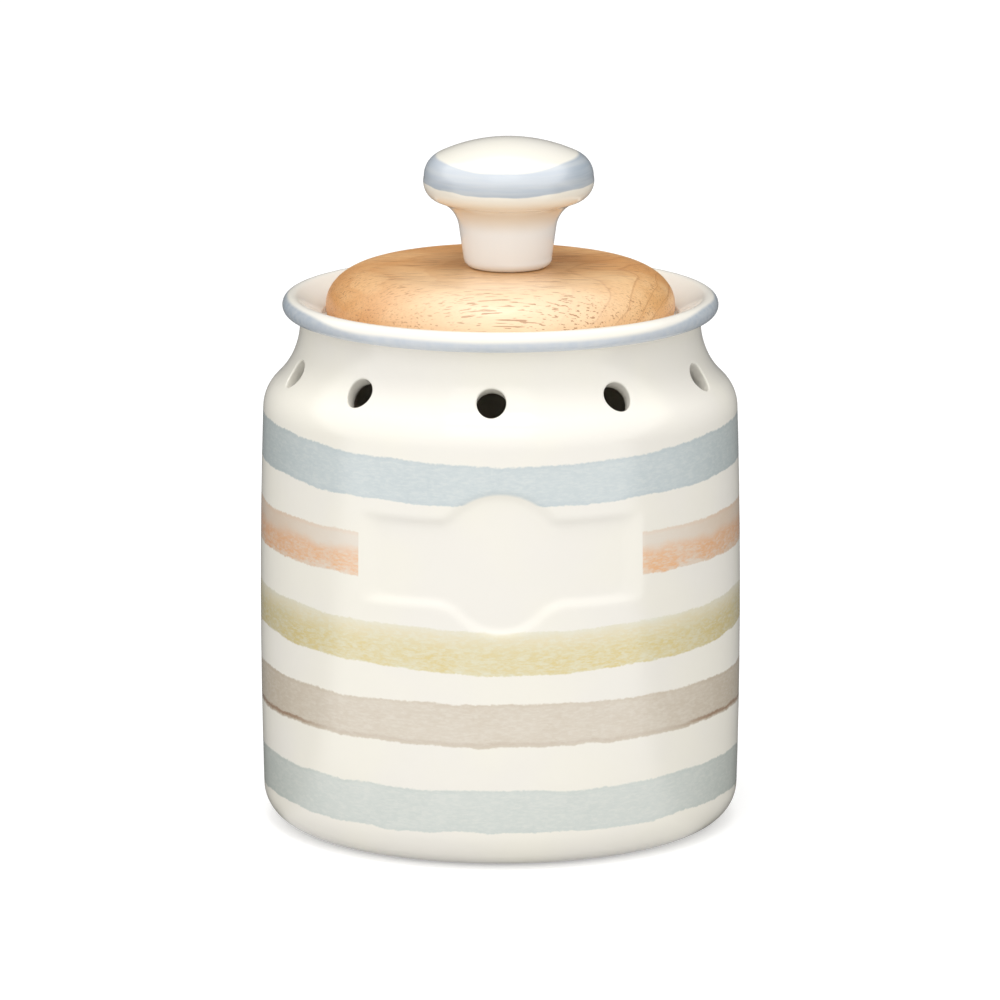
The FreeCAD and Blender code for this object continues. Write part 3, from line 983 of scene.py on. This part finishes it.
class JarMaker:
    """Throws the jar, presses the plaque into it and cuts the vents through its shoulder."""

    def __init__(self, form: JarForm) -> None:
        """Take the sizes and lay out the columns of points.

        Args:
            form: sizes of the jar.
        """
        self.form = form
        self.skin = Skin()
        self.bearings = np.arange(form.columns) * 2.0 * math.pi / form.columns

    def outer_at(self, height: np.ndarray) -> np.ndarray:
        """Radius of the shoulder's outside at a height."""
        form = self.form
        lower = np.sqrt(np.maximum(form.shoulder_round ** 2 - (height - form.shoulder_centre[1]) ** 2, 0.0))
        upper = np.sqrt(np.maximum(form.neck_round ** 2 - (form.neck_centre[1] - height) ** 2, 0.0))
        change = form.shoulder_centre[1] + form.shoulder_round * math.sin(math.radians(form.turn))
        return np.where(height < change, form.shoulder_centre[0] + lower, form.neck_centre[0] - upper)

    def inner_at(self, height: np.ndarray) -> np.ndarray:
        """Radius of the shoulder's inside at a height."""
        form = self.form
        small = form.shoulder_round - form.wall_thickness
        large = form.neck_round + form.wall_thickness
        lower = np.sqrt(np.maximum(small ** 2 - (height - form.shoulder_centre[1]) ** 2, 0.0))
        upper = np.sqrt(np.maximum(large ** 2 - (form.neck_centre[1] - height) ** 2, 0.0))
        change = form.shoulder_centre[1] + small * math.sin(math.radians(form.turn))
        return np.where(height < change, form.shoulder_centre[0] + lower, form.neck_centre[0] - upper)

    def give(self, bearing: np.ndarray, height: np.ndarray) -> np.ndarray:
        """How far a hand-thrown wall falls short of a true circle."""
        form = self.form
        slow = np.sin(2.0 * bearing + 1.3 + 0.02 * height)
        quick = np.sin(3.0 * bearing - 0.9 + 0.05 * height)
        throwing = np.sin(0.55 * height + bearing)
        share = 0.5 + 0.28 * slow + 0.14 * quick + 0.08 * throwing
        ends = smooth((height - 4.0) / 8.0) * smooth((form.vents.band[1] - height) / 6.0)
        return form.wobble * share * ends

    def outside(self, bearing: np.ndarray, radius: np.ndarray, height: np.ndarray) -> np.ndarray:
        """Radius of the finished outside, with the wobble and the plaque."""
        across = radius * np.sin(bearing)
        front = smooth((np.cos(bearing) - 0.3) / 0.2)
        return radius - self.give(bearing, height) - front * self.form.plaque.sink(across, height)

    def ring(self, radius: float, height: float, worked: bool) -> np.ndarray:
        """One ring of points.

        Args:
            radius: its radius.
            height: its height.
            worked: whether the wobble and the plaque apply there.

        Returns:
            The numbers of its points.
        """
        level = np.full(self.form.columns, height)
        reach = np.full(self.form.columns, radius)
        if worked:
            reach = self.outside(self.bearings, reach, level)
        places = np.stack([reach * np.sin(self.bearings), -reach * np.cos(self.bearings), level], axis=1)
        return self.skin.points(places)

    def lay(self, points: Sequence[tuple[float, float]], worked: bool,
            start: Optional[np.ndarray] = None) -> np.ndarray:
        """Lay rings along a profile and bridge them.

        Args:
            points: radius and height of each ring.
            worked: whether the wobble and the plaque apply there.
            start: ring to start from, in place of the first point.

        Returns:
            The last ring.
        """
        here = self.ring(*points[0], worked) if start is None else start
        for radius, height in points[1:]:
            following = self.ring(radius, height, worked)
            self.skin.bridge(here, following)
            here = following
        return here

    def window(self, angle: float) -> tuple[int, int]:
        """First and last column of the patch that holds a vent."""
        pitch = 2.0 * math.pi / self.form.columns
        half = math.radians(self.form.vents.half_angle)
        return int(math.ceil((angle - half) / pitch)), int(math.floor((angle + half) / pitch))

    def band(self, rings: Sequence[np.ndarray]) -> None:
        """Bridge the rings of a band, with a window left open for each vent."""
        columns = self.form.columns
        shut = np.zeros(columns, bool)
        for angle in self.form.vents.angles():
            first, last = self.window(angle)
            shut[np.arange(first, last) % columns] = True
        for here, following in zip(rings[:-1], rings[1:]):
            self.skin.bridge(here, following, shut)

    def frame(self, rings: Sequence[np.ndarray], heights: np.ndarray,
              angle: float) -> tuple[np.ndarray, ...]:
        """Walk round a vent's window.

        Args:
            rings: rings of the band, from its first row to its last.
            heights: height of each ring.
            angle: bearing of the vent.

        Returns:
            The point numbers, their angles from the vent and their heights.
        """
        first, last = self.window(angle)
        top = len(rings) - 1
        walk = [(0, column) for column in range(first, last + 1)]
        walk += [(row, last) for row in range(1, top + 1)]
        walk += [(top, column) for column in range(last - 1, first - 1, -1)]
        walk += [(row, first) for row in range(top - 1, 0, -1)]
        columns = self.form.columns
        numbers = np.array([rings[row][column % columns] for row, column in walk])
        turns = np.array([column * 2.0 * math.pi / columns - angle for row, column in walk])
        levels = np.array([heights[row] for row, column in walk])
        return numbers, turns, levels

    def vent(self, angle: float, outer: Sequence[np.ndarray], outer_heights: np.ndarray,
             inner: Sequence[np.ndarray], inner_heights: np.ndarray) -> None:
        """Cut one vent: rounded outer edge, a bore that rises outwards, and a wide inner edge.

        Args:
            angle: bearing of the vent.
            outer: rings of the outer band.
            outer_heights: their heights.
            inner: rings of the inner band, in the same order of height.
            inner_heights: their heights.
        """
        vents = self.form.vents
        way = np.array([math.sin(angle), -math.cos(angle)])
        side = np.array([math.cos(angle), math.sin(angle)])

        def at(across: np.ndarray, height: np.ndarray, along: np.ndarray) -> np.ndarray:
            """Points given by their distance across, up and along the bore."""
            flat = np.outer(along, way) + np.outer(across, side)
            return self.skin.points(np.column_stack([flat, height]))

        def outer_along(across: np.ndarray, height: np.ndarray) -> np.ndarray:
            """Distance along the bore to the outside."""
            radius = self.outer_at(height)
            bearing = angle + np.arcsin(across / radius)
            reach = radius - self.give(bearing, height)
            return np.sqrt(reach ** 2 - across ** 2)

        def bored(across: np.ndarray, height: np.ndarray, depth: np.ndarray) -> np.ndarray:
            """Points at a depth below the outside, down the slope of the bore."""
            along = outer_along(across, height) - depth * math.cos(slope)
            return at(across, height - depth * math.sin(slope), along)

        slope = math.radians(vents.rise)
        numbers, turns, levels = self.frame(outer, outer_heights, angle)
        across = self.outer_at(levels) * np.sin(turns)
        round_way = np.arctan2(levels - vents.height, across)
        cosines = np.cos(round_way)
        sines = np.sin(round_way)
        tall = sines * vents.squash
        rings = []
        wide = vents.radius + vents.edge_round
        for share in (0.3, 0.6, 0.85, 1.0):
            off = across * (1.0 - share) + wide * cosines * share
            high = levels * (1.0 - share) + (vents.height + wide * tall) * share
            rings.append(at(off, high, outer_along(off, high)))
        for turn in np.radians(np.linspace(15.0, 90.0, 6)):
            reach = vents.radius + vents.edge_round * (1.0 - math.sin(turn))
            depth = vents.edge_round * (1.0 - math.cos(turn))
            rings.append(bored(reach * cosines, vents.height + reach * tall, depth))

        off = vents.radius * cosines
        high = vents.height + vents.radius * tall
        through = self.depth_through(off, high, outer_along(off, high), slope)
        deep = vents.inner_depth * (1.0 - vents.roof_hold * np.clip(sines, 0.0, 1.0))
        deep = np.minimum(deep, through - vents.edge_round - vents.least_bore)
        for share in (0.3, 0.65, 1.0):
            depth = vents.edge_round * (1.0 - share) + (through - deep) * share
            rings.append(bored(off, high, depth))
        exit_height = high - through * math.sin(slope)
        for turn in np.radians(np.linspace(72.0, 0.0, 5)):
            spare = vents.inner_round * (1.0 - math.sin(turn))
            left = deep * (1.0 - math.cos(turn))
            out = off + spare * cosines
            up = exit_height + spare * sines
            along = np.sqrt(self.inner_at(up) ** 2 - out ** 2) + left * math.cos(slope)
            rings.append(at(out, up + left * math.sin(slope), along))

        here = numbers
        for following in [*rings, self.frame(inner, inner_heights, angle)[0]]:
            self.skin.bridge(here, following)
            here = following

    def depth_through(self, across: np.ndarray, height: np.ndarray, along: np.ndarray,
                      slope: float) -> np.ndarray:
        """Length of the bore at each point of its edge, found by halving.

        Args:
            across: distance of the point from the bore's middle plane.
            height: height of the point on the outside.
            along: distance of the point along the bore's level direction.
            slope: angle that the bore rises outwards by.

        Returns:
            The depth at which each line meets the inside.
        """
        low = np.zeros_like(across)
        high = np.full_like(across, 3.0 * self.form.wall_thickness)
        for _ in range(40):
            middle = (low + high) / 2.0
            inner = np.sqrt(self.inner_at(height - middle * math.sin(slope)) ** 2 - across ** 2)
            inside_wall = along - middle * math.cos(slope) > inner
            low = np.where(inside_wall, middle, low)
            high = np.where(inside_wall, high, middle)
        return low

    def outer_points(self) -> list[tuple[float, float]]:
        """Profile from the middle of the underside to the first row of the vents."""
        form = self.form
        outline = Outline(3.0, form.foot_recess)
        foot_outer = form.foot_radius - form.base_round
        outline.eased([(form.foot_inner - 1.0, form.foot_recess), (form.foot_inner, 0.0),
                       (foot_outer, 0.0)], form.corner_round, 4.0)
        outline.arc((foot_outer, form.base_round), form.base_round, -90.0, 0.0, 0.9)
        heights = [form.base_round, form.crown_height, form.shoulder_foot]
        bend = np.polyfit(heights, [form.foot_radius, form.wall_radius, form.top_radius], 2)
        low = form.plaque.bottom - form.plaque.bottom_bow - 3.0
        high = form.plaque.top + form.plaque.top_bow + 3.0
        stops = [*np.arange(form.base_round + 1.5, low, 1.5), *np.arange(low, high, 0.6),
                 *np.arange(high, form.shoulder_foot - 0.5, 1.2), form.shoulder_foot]
        for height in stops:
            outline.points.append((float(np.polyval(bend, height)), float(height)))
        rise = form.vents.band[0] - form.shoulder_centre[1]
        last = math.degrees(math.asin(rise / form.shoulder_round))
        outline.arc(form.shoulder_centre, form.shoulder_round, 0.0, last, 0.9)
        return outline.points

    def rim_points(self) -> list[tuple[float, float]]:
        """Profile from the last row of the vents over the rim to the inner band."""
        form = self.form
        under, bearing = self.form.under_points()
        band_top = form.vents.band[1]
        start = (float(self.outer_at(np.array(band_top))), band_top)
        outline = Outline(*start)
        rise = form.neck_centre[1] - band_top
        first = 180.0 + math.degrees(math.asin(rise / form.neck_round))
        outline.arc(form.neck_centre, form.neck_round, first, 180.0, 0.8)
        outline.line(form.neck_radius, under[1], 0.8)
        outline.arc(under, form.under_round, 180.0, bearing + 180.0, 0.3)
        outline.arc(form.bead_centre, form.bead_radius, bearing, form.slope_bearing(), 0.3)
        seat_top = form.seat_height + form.seat_wall
        inner_top = form.vents.inner_band[1]
        inner_edge = (float(self.inner_at(np.array(inner_top))), inner_top)
        outline.eased([(form.seat_radius, seat_top), (form.seat_radius, form.seat_height),
                       (form.mouth_radius, form.seat_height), (form.mouth_radius, form.mouth_foot),
                       inner_edge], form.corner_round, 1.2)
        return outline.points

    def inner_points(self) -> list[tuple[float, float]]:
        """Profile from the foot of the inner band to the middle of the floor."""
        form = self.form
        low = form.vents.inner_band[0]
        outline = Outline(float(self.inner_at(np.array(low))), low)
        floor = form.floor_height + form.floor_round
        heights = [floor, form.crown_height, form.shoulder_foot]
        radii = [form.foot_radius, form.wall_radius, form.top_radius]
        bend = np.polyfit(heights, [radius - form.wall_thickness for radius in radii], 2)
        for height in np.linspace(form.shoulder_foot, floor, 18)[1:]:
            outline.points.append((float(np.polyval(bend, height)), float(height)))
        centre = (form.foot_radius - form.wall_thickness - form.floor_round, floor)
        outline.arc(centre, form.floor_round, 0.0, -90.0, 1.0)
        outline.line(3.0, form.floor_height, 4.0)
        return outline.points

    def made(self, name: str) -> bpy.types.Object:
        """Make the whole jar as one closed mesh."""
        form = self.form
        vents = form.vents
        outer = self.outer_points()
        first = self.ring(*outer[0], False)
        self.skin.fan(first, np.array([0.0, 0.0, form.foot_recess]))
        here = self.lay(outer, True, first)
        heights = np.linspace(*vents.band, vents.band_rows + 1)
        rings = [here]
        rings += [self.ring(float(self.outer_at(level)), float(level), True) for level in heights[1:]]
        self.band(rings)
        last = self.lay(self.rim_points(), False, rings[-1])
        inner_heights = np.linspace(*vents.inner_band, vents.band_rows + 1)
        inner = [self.ring(float(self.inner_at(level)), float(level), False)
                 for level in inner_heights[:-1]]
        inner.append(last)
        self.band(inner)
        for angle in vents.angles():
            self.vent(angle, rings, heights, inner, inner_heights)
        end = self.lay(self.inner_points(), False, inner[0])
        self.skin.fan(end, np.array([0.0, 0.0, form.floor_height]))
        jar = self.skin.made(name)
        self.mark_plaque(jar)
        return jar

    def mark_plaque(self, jar: bpy.types.Object) -> None:
        """Store at each point how far inside the plaque it lies, so that the paint stops there."""
        places = np.concatenate(self.skin.blocks)
        inside = np.clip(self.form.plaque.inset(places[:, 0], places[:, 2]), -5.0, 5.0)
        front = places[:, 1] < -0.4 * self.form.wall_radius
        held = np.where(front, inside, -5.0).astype(np.float32)
        field_data = jar.data.attributes.new(PLAQUE_FIELD, "FLOAT", "POINT")
        field_data.data.foreach_set("value", held)


@dataclass(frozen=True)
class KnobForm:
    """Sizes of the knob in millimetres, with heights above the top of the lid."""

    foot_radius: float = 11.0
    foot_round: float = 2.4
    stem_radius: float = 12.1
    stem_height: float = 10.3
    under_radius: float = 17.6
    under_height: float = 16.75
    head_radius: float = 21.1
    head_height: float = 22.85
    crown_height: float = 32.25
    crown_angle: float = 25.4
    hole_radius: float = 4.1
    hole_depth: float = 14.3
    band_low: float = 160.6
    band_high: float = 166.2
    columns: int = 200
    lean: float = 0.35
    give: float = 0.12

    def outline(self, lid_top: float) -> Outline:
        """Profile from the hole's blind end round to the middle of the crown.

        Args:
            lid_top: height that the knob stands at.

        Returns:
            The outline, which ends on the axis.
        """
        turn = math.radians(self.crown_angle)
        slope = math.tan(turn / 2.0)
        lift = math.cos(turn) - (1.0 - math.sin(turn)) * slope
        edge = (self.crown_height - self.head_height - self.head_radius * slope) / lift
        outline = Outline(1.5, lid_top + self.hole_depth)
        outline.eased([(self.hole_radius, lid_top + self.hole_depth), (self.hole_radius, lid_top),
                       (self.foot_radius - self.foot_round, lid_top)], 0.3, 1.5)
        outline.arc((self.foot_radius - self.foot_round, lid_top + self.foot_round), self.foot_round,
                    -90.0, 0.0, 0.4)
        outline.line(self.stem_radius, lid_top + self.stem_height, 0.8)
        outline.tangent_arc(self.under_radius, lid_top + self.under_height, 0.5)
        outline.tangent_arc(self.head_radius, lid_top + self.head_height, 0.5)
        middle = (self.head_radius - edge, lid_top + self.head_height)
        outline.arc(middle, edge, 0.0, 90.0 - self.crown_angle, 0.4)
        outline.tangent_arc(0.0, lid_top + self.crown_height, 0.8)
        return outline


class KnobMaker:
    """Turns the knob, which leans a little and isn't quite round."""

    def __init__(self, form: KnobForm, lid_top: float, axis: float) -> None:
        """Take the sizes and the place.

        Args:
            form: sizes of the knob.
            lid_top: height that it stands at, in millimetres.
            axis: where its axis crosses the X axis.
        """
        self.form = form
        self.lid_top = lid_top
        self.axis = axis

    def made(self, name: str) -> bpy.types.Object:
        """Make the knob as one closed mesh."""
        form = self.form
        skin = Skin()
        bearings = np.arange(form.columns) * 2.0 * math.pi / form.columns
        rings = []
        outline = self.form.outline(self.lid_top).points
        for radius, height in outline[:-1]:
            up = height - self.lid_top
            head = smooth(np.array((up - form.stem_height) / (form.head_height - form.stem_height)))
            outside = 1.0 if radius > form.hole_radius + 0.5 and up > form.foot_round else 0.0
            wave = 0.5 + 0.5 * np.sin(2.0 * bearings + 0.7)
            reach = radius - outside * form.give * head * wave * radius / form.head_radius
            middle = self.axis + outside * form.lean * (float(head) - 0.5) * radius / form.head_radius
            places = np.stack([middle + reach * np.sin(bearings), -reach * np.cos(bearings),
                               np.full(form.columns, height)], axis=1)
            rings.append(skin.points(places))
        for here, following in zip(rings[:-1], rings[1:]):
            skin.bridge(here, following)
        skin.fan(rings[0], np.array([self.axis, 0.0, self.lid_top + form.hole_depth]))
        skin.fan(rings[-1], np.array([self.axis, 0.0, self.lid_top + form.crown_height]))
        return skin.made(name)


@dataclass(frozen=True)
class Studio:
    """White sweep, soft lamps and world light, in metres, seen from the photograph's place.

    Glossy rays see a bright front and a dim back, with a soft step at box_edge. Other rays see
    light that fades from soft_front to soft_back. The floor's gloss is dimmer near the part.
    """

    eye: Corner = (0.0, -2.0, 0.5061)
    target: Corner = (0.0, 0.0, 0.0804)
    lens: float = 294.7
    sensor: float = 36.0
    shift: float = -0.0004
    floor_reach: float = 4.0
    paper: float = 0.7
    paper_glow: float = 0.42
    paper_in_gloss: float = 0.05
    softbox_way: Corner = (-0.12, -0.6, 0.79)
    left_bias: float = -0.12
    box_edge: tuple[float, float] = (0.2, 0.46)
    sky_edge: tuple[float, float] = (0.1, 0.32)
    gloss_back: float = 0.08
    gloss_front: float = 1.6
    near_gloss: float = 0.35
    near_edge: tuple[float, float] = (70.0, 170.0)
    soft_back: float = 0.3
    soft_front: float = 1.04

    def camera(self) -> None:
        """Put the camera at the photograph's viewing angle."""
        data = bpy.data.cameras.new("camera")
        data.lens = self.lens
        data.sensor_width = self.sensor
        data.shift_x = self.shift
        data.clip_end = 50.0
        camera = bpy.data.objects.new("camera", data)
        camera.location = self.eye
        way = Vector(self.target) - Vector(self.eye)
        camera.rotation_euler = way.to_track_quat("-Z", "Y").to_euler()
        bpy.context.scene.collection.objects.link(camera)
        bpy.context.scene.camera = camera

    def lamp(self, name: str, place: Corner, size: tuple[float, float], power: float,
             aim: Corner = (0.0, 0.0, 0.09)) -> None:
        """A soft rectangular lamp.

        Args:
            name: name of the lamp.
            place: where it hangs.
            size: its width and height.
            power: its power in watts.
            aim: the point that it faces.
        """
        data = bpy.data.lights.new(name, "AREA")
        data.shape = "RECTANGLE"
        data.size = size[0]
        data.size_y = size[1]
        data.energy = power
        lamp = bpy.data.objects.new(name, data)
        lamp.location = place
        lamp.rotation_euler = (Vector(aim) - Vector(place)).to_track_quat("-Z", "Y").to_euler()
        bpy.context.scene.collection.objects.link(lamp)

    def seen(self, graph: Graph) -> tuple[bpy.types.NodeSocket, bpy.types.NodeSocket]:
        """Whether a ray comes straight from the camera or through clear stuff, or off a gloss."""
        path = graph.tree.nodes.new("ShaderNodeLightPath")
        clear = graph.math("ADD", path.outputs["Is Camera Ray"],
                           path.outputs["Is Transmission Ray"], clamp=True)
        return clear, path.outputs["Is Glossy Ray"]

    def floor(self) -> None:
        """A white floor that keeps the part's soft shadow, brighter in gloss before the part."""
        graph = Graph.paint("white_floor")
        tree = graph.tree
        clear, glossy = self.seen(graph)
        across, depth, _ = graph.split(graph.place())
        reach = graph.length(across, depth)
        past_middle = graph.math("ADD", reach, 1.0)
        front = graph.math("DIVIDE", graph.times(depth, -1.0), past_middle)
        front = graph.math("MULTIPLY_ADD", graph.math("DIVIDE", across, past_middle),
                           self.left_bias, front)
        shine = graph.times(graph.span(front, *self.box_edge, self.gloss_back, self.gloss_front),
                            graph.span(reach, *self.near_edge, self.near_gloss, 1.0))
        paper = tree.nodes.new("ShaderNodeBsdfDiffuse")
        white = (self.paper, self.paper, self.paper)
        dim = (self.paper_in_gloss, self.paper_in_gloss, self.paper_in_gloss)
        graph.put(paper.inputs[0], graph.mix(glossy, white, dim))
        glow = tree.nodes.new("ShaderNodeEmission")
        level = graph.math("MULTIPLY_ADD", clear, self.paper_glow, graph.times(glossy, shine))
        graph.put(glow.inputs["Strength"], level)
        both = tree.nodes.new("ShaderNodeAddShader")
        tree.links.new(paper.outputs[0], both.inputs[0])
        tree.links.new(glow.outputs[0], both.inputs[1])
        end = tree.nodes.new("ShaderNodeOutputMaterial")
        tree.links.new(both.outputs[0], end.inputs[0])
        skin = Skin()
        bearings = np.linspace(0.0, 2.0 * math.pi, 64, endpoint=False)
        flat = np.stack([np.sin(bearings), np.cos(bearings), np.zeros(64)], axis=1)
        ring = skin.points(flat * self.floor_reach / MM)
        skin.fan(ring, np.zeros(3))
        floor = skin.made("floor")
        floor.data.materials.append(graph.owner)

    def world(self) -> None:
        """Bright front and top, dimmer back, and a white background."""
        world = bpy.data.worlds.new("studio")
        bpy.context.scene.world = world
        graph = Graph(world)
        tree = graph.tree
        coords = tree.nodes.new("ShaderNodeTexCoord")
        way = Vector(self.softbox_way).normalized()
        facing = graph.vector("DOT_PRODUCT", coords.outputs["Generated"], way)
        toward = facing.outputs["Value"]
        shown = graph.span(toward, *self.sky_edge, self.gloss_back, self.gloss_front)
        soft = graph.span(toward, -0.7, 0.8, self.soft_back, self.soft_front)
        clear, glossy = self.seen(graph)
        level = graph.math("ADD", graph.times(glossy, shown),
                           graph.times(graph.math("SUBTRACT", 1.0, glossy), soft))
        level = graph.math("ADD", graph.times(level, graph.math("SUBTRACT", 1.0, clear)), clear)
        sky = tree.nodes.new("ShaderNodeBackground")
        sky.inputs["Color"].default_value = (1.0, 1.0, 1.0, 1.0)
        graph.put(sky.inputs["Strength"], level)
        end = tree.nodes.new("ShaderNodeOutputWorld")
        tree.links.new(sky.outputs[0], end.inputs[0])

    def build(self) -> None:
        """Set up the whole studio."""
        scene = bpy.context.scene
        scene.view_settings.view_transform = "Standard"
        self.camera()
        self.floor()
        self.world()
        self.lamp("key", (-0.15, -1.35, 1.45), (1.3, 1.0), 3.5)
        self.lamp("overhead", (-0.05, -0.25, 1.3), (0.55, 0.4), 4.0)


def finish_nodes(nodes: dict[str, bpy.types.Object], finishes: dict[str, bpy.types.Material]) -> None:
    """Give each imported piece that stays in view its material.

    Args:
        nodes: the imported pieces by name.
        finishes: material for each piece's name.
    """
    for name, material in finishes.items():
        piece = nodes[name]
        for holder in piece.material_slots:
            holder.material = material
        if not piece.material_slots:
            piece.data.materials.append(material)
        LOG.info("%s keeps its shape, in %s", name, material.name)


def main() -> None:
    """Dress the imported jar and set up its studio."""
    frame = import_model()
    jar_form = JarForm()
    glaze = Glaze()
    fittings = Fittings()

    jar = JarMaker(jar_form).made("stoneware_jar")
    jar.data.materials.append(glaze.jar(jar_form))
    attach(jar, "jar")
    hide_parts("jar_body")
    LOG.info("jar has %d faces", len(jar.data.polygons))

    low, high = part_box("lid_knob")
    knob_form = KnobForm()
    maker = KnobMaker(knob_form, low.z / MM, (low.x + high.x) / 2.0 / MM)
    knob = maker.made("glazed_knob")
    knob.data.materials.append(glaze.knob(knob_form))
    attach(knob, "lid")
    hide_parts("lid_knob")
    LOG.info("knob has %d faces", len(knob.data.polygons))

    zinc = fittings.metal("zinc", fittings.zinc)
    finish_nodes(frame["nodes"], {
        "lid_disc": Beech().material(),
        "seal_ring": fittings.rubber(),
        "knob_insert": fittings.metal("brass", fittings.brass),
        "screw_washer": zinc,
        "lid_screw": zinc,
    })
    Studio().build()


if __name__ == "__main__":
    logging.basicConfig(level=logging.INFO)
    main()
